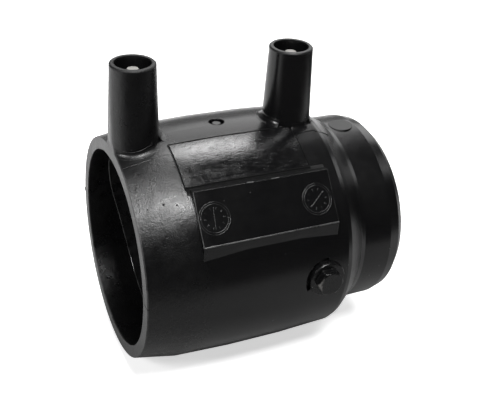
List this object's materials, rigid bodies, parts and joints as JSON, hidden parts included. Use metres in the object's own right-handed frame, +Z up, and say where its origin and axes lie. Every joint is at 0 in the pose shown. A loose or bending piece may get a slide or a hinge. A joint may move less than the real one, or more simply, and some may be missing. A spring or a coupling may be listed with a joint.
{
  "type": "electrofusion end cap",
  "caption": "Closed plastic pipe fitting with a wire-wound socket, shrouded terminal pins on top, a raised plaque and a clamp screw on its side.",
  "frame": {"origin": "centre of the socket's open mouth, on the pipe's axis", "axes": "+X runs along the pipe's axis from the open mouth to the closed end, +Z is up along the terminals and -Y faces the side with the plaque and the clamp screw"},
  "size_m": [0.092, 0.0809, 0.1018],
  "materials": {
    "fitting_body": "black moulded polyethylene, satin",
    "coil_sleeve": "black moulded polyethylene, satin",
    "heating_coil": "bare copper alloy wire",
    "terminal_pin_mouth": "tinned brass, satin",
    "terminal_pin_closed": "tinned brass, satin",
    "fusion_indicator": "black moulded polyethylene, satin",
    "clamp_screw": "blackened steel, worn bright on its edges"
  },
  "bodies": {
    "root": {"fitting_body": "fitting_body", "coil_sleeve": "coil_sleeve", "heating_coil": "heating_coil", "terminal_pin_mouth": "terminal_pin_mouth", "terminal_pin_closed": "terminal_pin_closed", "fusion_indicator": "fusion_indicator", "clamp_screw": "clamp_screw"}
  },
  "joints": []
}
